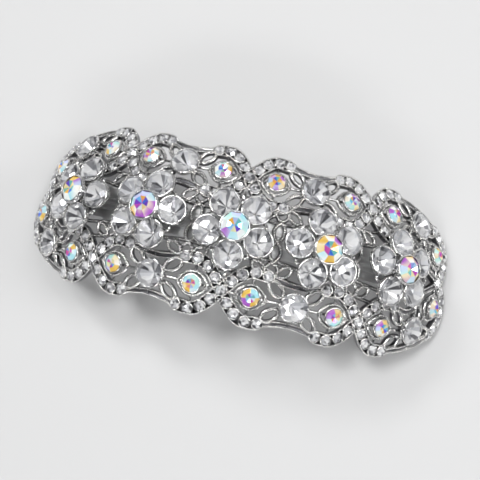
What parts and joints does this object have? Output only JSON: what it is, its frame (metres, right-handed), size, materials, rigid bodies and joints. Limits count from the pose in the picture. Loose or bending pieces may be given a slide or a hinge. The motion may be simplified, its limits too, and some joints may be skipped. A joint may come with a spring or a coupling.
{
  "type": "rhinestone hair barrette",
  "caption": "Bowed openwork hair barrette: a row of raised stone flowers between pavé-set filigree borders, on a sprung French clasp.",
  "frame": {"origin": "in the middle of the hair gap, between the tension bar and the locking arm, at mid length and mid width of the clasp", "axes": "+X along the barrette's length, +Y across it, +Z out through the middle of the ornament"},
  "size_m": [0.1194, 0.0441, 0.0452],
  "materials": {
    "cast_silver": "polished",
    "clasp_steel": "brushed",
    "clear_stone": "foil-backed faceted glass",
    "iridescent_stone": "foil-backed faceted glass with an iridescent coating"
  },
  "bodies": {
    "ornament": {"border_clear_settings": "cast_silver", "border_clear_stones": "clear_stone", "border_iridescent_settings": "cast_silver", "border_iridescent_stones": "iridescent_stone", "border_left_end": "cast_silver", "border_lower": "cast_silver", "border_right_end": "cast_silver", "border_upper": "cast_silver", "catch_bridge": "clasp_steel", "clasp_base": "clasp_steel", "crossing_stones": "clear_stone", "flower_casting_1": "cast_silver", "flower_casting_2": "cast_silver", "flower_casting_3": "cast_silver", "flower_casting_4": "cast_silver", "flower_casting_5": "cast_silver", "heart_stone_1": "iridescent_stone", "heart_stone_2": "iridescent_stone", "heart_stone_3": "iridescent_stone", "heart_stone_4": "iridescent_stone", "heart_stone_5": "iridescent_stone", "hinge_pin": "clasp_steel", "pave_stones_left": "clear_stone", "pave_stones_right": "clear_stone", "petal_stones_1": "clear_stone", "petal_stones_2": "clear_stone", "petal_stones_3": "clear_stone", "petal_stones_4": "clear_stone", "petal_stones_5": "clear_stone"},
    "arm": {"locking_arm": "clasp_steel"},
    "spring_bar": {"tension_bar": "clasp_steel"},
    "leg_back": {"release_leg_back": "clasp_steel"},
    "leg_front": {"release_leg_front": "clasp_steel"}
  },
  "joints": [
    {"name": "arm_hinge", "type": "hinge", "parent": "ornament", "child": "arm", "pos_m": [-0.03671, 0, -0.00828], "axis": [0, 1, 0], "range_deg": [0, 65]},
    {"name": "spring_bar_hinge", "type": "hinge", "parent": "ornament", "child": "spring_bar", "pos_m": [-0.03671, 0, -0.00828], "axis": [0, 1, 0], "range_deg": [0, 2.5], "stiffness_Nm_per_rad": 0.05},
    {"name": "leg_back_squeeze", "type": "hinge", "parent": "ornament", "child": "leg_back", "pos_m": [0.036, 0.002, -0.0056], "axis": [-1, 0, 0], "range_deg": [0, 7], "stiffness_Nm_per_rad": 0.02},
    {"name": "leg_front_squeeze", "type": "hinge", "parent": "ornament", "child": "leg_front", "pos_m": [0.036, -0.002, -0.0056], "axis": [1, 0, 0], "range_deg": [0, 7], "stiffness_Nm_per_rad": 0.02}
  ]
}
